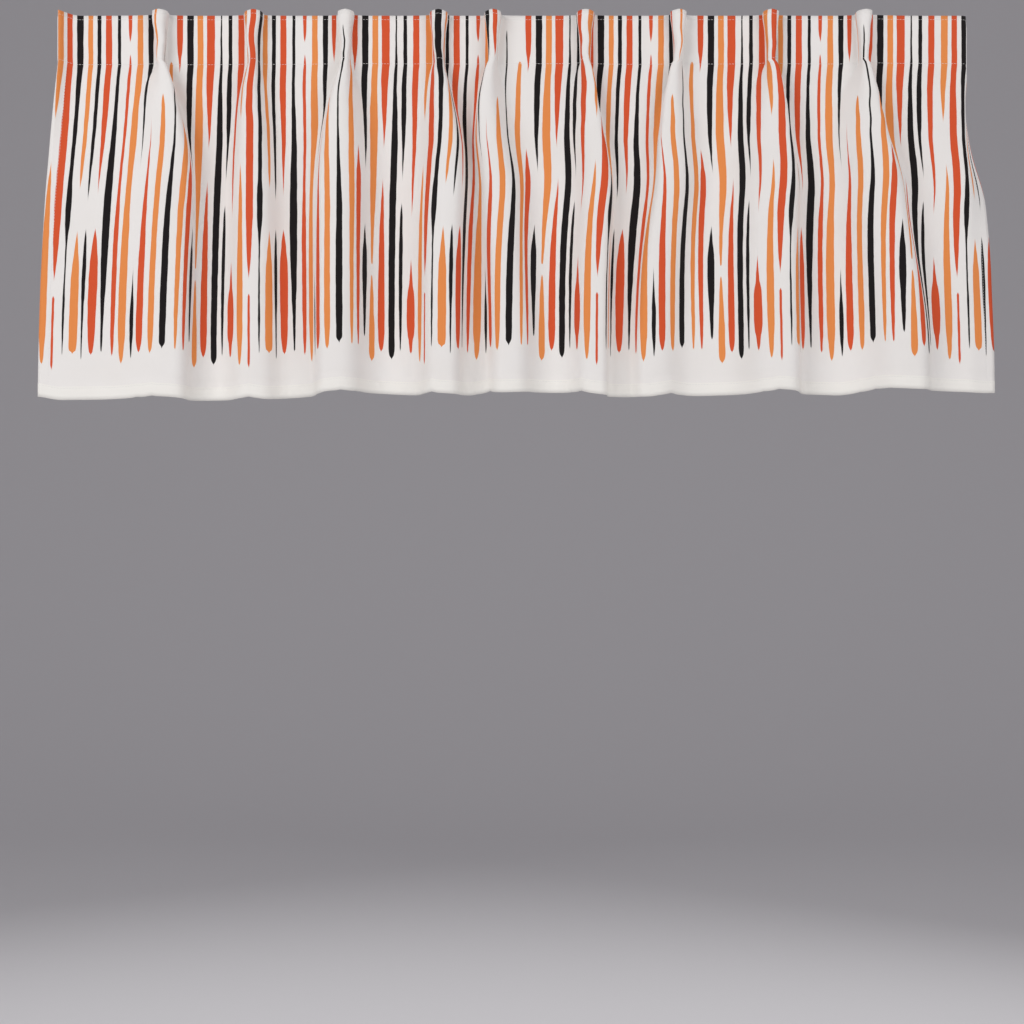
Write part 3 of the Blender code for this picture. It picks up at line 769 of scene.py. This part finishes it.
tape_rows = [index for index, drop in enumerate(drops) if 3 * MM < drop <= TAPE_LONG]
tape_grid = (cloth - cloth_front * 2 * LAYER)[tape_rows]
tape = sheet_piece("pocket_tape", tape_grid, columns, drops[tape_rows], 0.5 * MM)


def woven_tape_material():
    """Close white weave with a rib along each side of every pocket and a woven line between the rows,
    raised, and painted lighter as a painted highlight.
    """
    made, tree, shader = new_material("woven_tape", roughness=0.85)
    place = tree.nodes.new("ShaderNodeUVMap")
    place.uv_map = "Cloth"
    parts = tree.nodes.new("ShaderNodeSeparateXYZ")
    tree.links.new(place.outputs[0], parts.inputs[0])
    u, v = parts.outputs[0], parts.outputs[1]
    rib = maths(tree, "PINGPONG", u, 4.5 * MM)
    rib = maths(tree, "LESS_THAN", rib, 0.7 * MM)
    line = maths(tree, "LESS_THAN", maths(tree, "PINGPONG", v, 16 * MM), 0.8 * MM)
    raised_with_painted_highlight = maths(tree, "MAXIMUM", rib, line)
    # painted highlight: the raised ribs and lines are coloured lighter than the flat weave between them
    tone = blended(tree, raised_with_painted_highlight, (0.74, 0.73, 0.71, 1), (0.84, 0.83, 0.82, 1))
    tree.links.new(tone, shader.inputs["Base Color"])
    turns = math.tau / (1.1 * MM)
    warp = maths(tree, "SINE", maths(tree, "MULTIPLY", u, turns))
    weft = maths(tree, "SINE", maths(tree, "MULTIPLY", v, turns))
    weave = maths(tree, "MULTIPLY", maths(tree, "MULTIPLY", warp, weft), 0.2)
    raise_surface(tree, shader, maths(tree, "ADD", weave, raised_with_painted_highlight), 0.5, 0.3 * MM)
    return made


tape.data.materials[0] = tape.data.materials[1] = woven_tape_material()
hang_on_curtain(tape)
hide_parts("header_tape")


# ---- Side hems and stitching --------------------------------------------------------------------
# The cloth's sides are turned back once and sewn. Two rows of lockstitch hold the tape, one row the
# bottom hem and one each side hem, in white cotton thread that shows on the dark strokes.

SIDE_HEM = 15 * MM
hem_drops = [index for index, drop in enumerate(drops) if drop < CLOTH_LONG - HEM]
for side in ("left", "right"):
    if side == "left":
        span = [index for index, thread in enumerate(columns) if thread <= SIDE_HEM]
        from_edge = columns[span]
    else:
        span = [index for index, thread in enumerate(columns) if thread >= CLOTH_WIDE - SIDE_HEM]
        from_edge = CLOTH_WIDE - columns[span]
    behind = 2 * LAYER * np.clip(from_edge / (1.5 * MM), 0.35, 1)
    patch = np.ix_(hem_drops, span)
    strip = cloth[patch] - cloth_front[patch] * behind[None, :, None]
    piece = sheet_piece(f"{side}_side_hem", strip, columns[span], drops[hem_drops], 0.5 * MM)
    piece.data.materials[0] = piece.data.materials[1] = reverse
    hang_on_curtain(piece)

STITCH = 2.9 * MM
STITCH_GAP = 1.0 * MM
THREAD = 0.2 * MM
thread_cotton, tree, shader = new_material("sewing_thread", roughness=0.7)
place = tree.nodes.new("ShaderNodeTexCoord")
twist = tree.nodes.new("ShaderNodeTexNoise")
twist.inputs["Scale"].default_value = 2200
tree.links.new(place.outputs["Object"], twist.inputs["Vector"])
tone = blended(tree, twist.outputs[0], (0.70, 0.68, 0.66, 1), (0.86, 0.85, 0.83, 1))
tree.links.new(tone, shader.inputs["Base Color"])


def stitch_row(name, path, length):
    """Stitches along a path on the cloth: path(s) gives (thread, drop) at a distance s along it."""
    points, faces = [], []
    corners = 6  # round the thread
    for start in np.arange(STITCH_GAP, length - STITCH, STITCH + STITCH_GAP):
        first = len(points)
        for share, lift in ((0, 0.28), (0.25, 0.36), (0.75, 0.36), (1, 0.28)):
            u, v = path(start + share * STITCH)
            ahead = path(start + share * STITCH + 0.5 * MM)
            centre = cloth_point(u, v, lift * MM)
            along = cloth_point(*ahead, lift * MM) - centre
            along /= np.linalg.norm(along)
            out = cloth_point(u, v, 1 * MM) - cloth_point(u, v)
            out /= np.linalg.norm(out)
            across = np.cross(along, out)
            wide = THREAD * (0.55 if share in (0, 1) else 1)
            for turn in range(corners):
                angle = math.tau * turn / corners
                points.append(centre + across * wide * math.cos(angle) + out * wide * 0.7 * math.sin(angle))
        for loop in range(3):
            for turn in range(corners):
                a = first + loop * corners + turn
                b = first + loop * corners + (turn + 1) % corners
                faces.append((a, b, b + corners, a + corners))
        faces.append(tuple(first + turn for turn in reversed(range(corners))))
        faces.append(tuple(first + 3 * corners + turn for turn in range(corners)))
    mesh = bpy.data.meshes.new(name)
    mesh.from_pydata([tuple(point) for point in points], [], faces)
    mesh.shade_smooth()
    row = bpy.data.objects.new(name, mesh)
    bpy.context.collection.objects.link(row)
    row.data.materials.append(thread_cotton)
    hang_on_curtain(row)
    return row


wide = float(CLOTH_WIDE)
stitch_row("upper_tape_stitches", lambda s: (s, 5 * MM), wide)
stitch_row("lower_tape_stitches", lambda s: (s, TAPE_LONG - 2 * MM), wide)
stitch_row("bottom_hem_stitches", lambda s: (s, CLOTH_LONG - HEM + 2 * MM), wide)
stitch_row("left_hem_stitches", lambda s: (SIDE_HEM - 2 * MM, s), CLOTH_LONG - HEM)
stitch_row("right_hem_stitches", lambda s: (wide - SIDE_HEM + 2 * MM, s), CLOTH_LONG - HEM)


# ---- Stage --------------------------------------------------------------------------------------
# A pale floor that sweeps up behind in a quarter circle, two soft lamps in front, two behind that show
# the cloth's edges from the back, and the camera. None of it is part of the object.

FLOOR_Z = -1.9
SWEEP_STEPS = 16
SWEEP_STEP = 0.4
WALL_RISE = 12
bpy.ops.mesh.primitive_plane_add(size=30, location=(0, -10, FLOOR_Z))
floor = bpy.context.object
floor.name = "floor"
sweep = bmesh.new()
sweep.from_mesh(floor.data)
back_edge = [edge for edge in sweep.edges if all(vert.co.y > 14 for vert in edge.verts)]
turns = [math.radians(90 * (step + 0.5) / SWEEP_STEPS) for step in range(SWEEP_STEPS)]
moves = [Vector((0, math.cos(turn), math.sin(turn))) * SWEEP_STEP for turn in turns]
for move in moves + [Vector((0, 0, WALL_RISE))]:
    grown = bmesh.ops.extrude_edge_only(sweep, edges=back_edge)["geom"]
    corners = [item for item in grown if isinstance(item, bmesh.types.BMVert)]
    bmesh.ops.translate(sweep, verts=corners, vec=move)
    back_edge = [item for item in grown if isinstance(item, bmesh.types.BMEdge)]
bmesh.ops.recalc_face_normals(sweep, faces=sweep.faces)
sweep.to_mesh(floor.data)
sweep.free()
floor.data.shade_smooth()
pale, tree, shader = new_material("pale_floor", roughness=0.9)
shader.inputs["Base Color"].default_value = (0.66, 0.65, 0.66, 1)
floor.data.materials.append(pale)

CAMERA_Z = top_z - 640 * MM
DISTANCE = 2.5
SEEN_WIDE = 1320.96 * MM  # across the view, at the heading
SENSOR = 36
bpy.ops.object.camera_add(location=(0, header_y - DISTANCE, CAMERA_Z), rotation=(math.pi / 2, 0, 0))
camera = bpy.context.object
camera.data.sensor_width = SENSOR
camera.data.lens = SENSOR * DISTANCE / SEEN_WIDE
bpy.context.scene.camera = camera

# each lamp: its place, how wide it is and its power in watts
lamps = (
    ((-2.2, -2.6, 0.6), 2.0, 56), ((2.2, -2.8, 0.4), 2.0, 42),
    ((-1.6, 2.6, 0.8), 2.2, 34), ((1.8, 2.4, 0.5), 2.2, 34),
)
for place, lamp_wide, power in lamps:
    bpy.ops.object.light_add(type="AREA", location=place)
    lamp = bpy.context.object
    lamp.data.size = lamp_wide
    lamp.data.energy = power
    lamp.visible_camera = False
    towards = Vector((0, header_y, -0.25)) - Vector(place)
    lamp.rotation_euler = towards.to_track_quat("-Z", "Y").to_euler()
world = bpy.data.worlds.new("studio")
world.use_nodes = True
world.node_tree.nodes["Background"].inputs["Color"].default_value = (0.36, 0.35, 0.37, 1)
bpy.context.scene.world = world
bpy.context.scene.view_settings.view_transform = "Standard"
